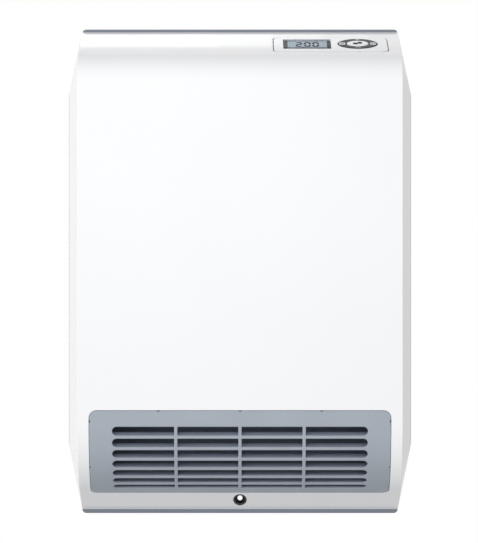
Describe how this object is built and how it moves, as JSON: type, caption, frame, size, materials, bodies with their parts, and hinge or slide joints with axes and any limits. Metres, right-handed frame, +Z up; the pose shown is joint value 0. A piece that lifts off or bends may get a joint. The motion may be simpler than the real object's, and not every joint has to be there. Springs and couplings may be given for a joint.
{
  "type": "fan convector heater",
  "caption": "Wall-mounted fan heater with a wrap-over white cover, flared sides, curved louvred outlet at the bottom and a sloping control panel with display and ring keys.",
  "frame": {"origin": "point of the wall plane behind the middle of the heater", "axes": "+X to the right seen from the front, -Y out of the front (so +Y into the wall), +Z up"},
  "size_m": [0.33, 0.118, 0.466],
  "materials": {
    "cover_white": "smooth gloss white moulding",
    "grille_blue_grey": "fine satin blue-grey moulding",
    "housing_blue_grey": "satin dark blue-grey moulding",
    "dark_plastic": "satin dark grey moulding",
    "tunnel_black": "black moulding",
    "button_white": "gloss white keycap",
    "lens_clear": "clear display window",
    "lcd_grey": "blue-grey reflective liquid crystal display",
    "steel_sheet": "zinc-plated sheet and screws",
    "aluminium_sheet": "bright rolled sheet",
    "rubber_black": "black rubber",
    "bronze": "sintered bronze",
    "copper_winding": "enamelled copper winding with tape",
    "heating_alloy": "oxidised resistance wire",
    "mica": "mica sheet",
    "board_green": "glass-fibre circuit board",
    "component_dark": "moulded electronic parts",
    "component_blue": "blue moulded relay and capacitor cases",
    "ceramic_white": "glazed ceramic and nylon bodies",
    "lead_insulation": "coloured lead insulation"
  },
  "bodies": {
    "root": {"front_cover": "cover_white", "cover_sill": "cover_white", "outlet_grille": "grille_blue_grey", "rear_housing": "housing_blue_grey", "wall_bracket": "steel_sheet", "screw_tunnel": "tunnel_black", "cover_screws": "steel_sheet", "cable_grommet": "rubber_black", "control_panel": "cover_white", "display_lens": "lens_clear", "lcd_module": "lcd_grey", "tact_switches": "component_dark", "control_board": "board_green", "controller_chip": "component_dark", "alarm_buzzer": "component_dark", "board_screws": "steel_sheet", "panel_ribbon": "lead_insulation", "power_board": "board_green", "power_board_screws": "steel_sheet", "relays": "component_blue", "transformer": "component_dark", "capacitor": "component_blue", "mains_fuse": "ceramic_white", "wire_connectors": "ceramic_white", "terminal_block": "ceramic_white", "blower_scroll": "steel_sheet", "blower_tongue": "steel_sheet", "left_end_plate": "steel_sheet", "right_end_plate": "steel_sheet", "blower_screws": "steel_sheet", "bearing_bush": "bronze", "bearing_rubber": "rubber_black", "motor_stator": "steel_sheet", "motor_coil": "copper_winding", "motor_brackets": "steel_sheet", "element_frame": "mica", "heating_wire": "heating_alloy", "thermal_cutout": "ceramic_white", "thermal_fuse": "ceramic_white", "heat_shield": "aluminium_sheet", "outlet_duct": "dark_plastic", "room_sensor": "component_dark", "sensor_clip": "cover_white", "supply_leads": "lead_insulation", "motor_leads": "lead_insulation", "element_leads": "lead_insulation", "sensor_lead": "lead_insulation"},
    "fan": {"fan_impeller": "aluminium_sheet", "drive_shaft": "steel_sheet", "bearing_stub": "steel_sheet", "motor_rotor": "aluminium_sheet"},
    "ring": {"control_ring": "dark_plastic"},
    "select": {"select_button": "button_white"},
    "menu": {"menu_button": "button_white"},
    "power": {"power_button": "button_white"}
  },
  "joints": [
    {"name": "fan_spin", "type": "hinge", "parent": "root", "child": "fan", "pos_m": [0, -0.062, -0.07], "axis": [1, 0, 0], "continuous": true},
    {"name": "ring_tip", "type": "hinge", "parent": "root", "child": "ring", "pos_m": [0.1118, -0.0612, 0.21297], "axis": [1, 0, 0], "range_deg": [-1.5, 1.5], "stiffness_Nm_per_rad": 2},
    {"name": "select_press", "type": "slide", "parent": "root", "child": "select", "axis": [0, 0.3074, -0.9516], "range_m": [0, 0.0006], "stiffness_N_per_m": 800},
    {"name": "menu_press", "type": "slide", "parent": "root", "child": "menu", "axis": [0, 0.3074, -0.9516], "range_m": [0, 0.0006], "stiffness_N_per_m": 800},
    {"name": "power_press", "type": "slide", "parent": "root", "child": "power", "axis": [0, 0.3074, -0.9516], "range_m": [0, 0.0006], "stiffness_N_per_m": 800}
  ]
}
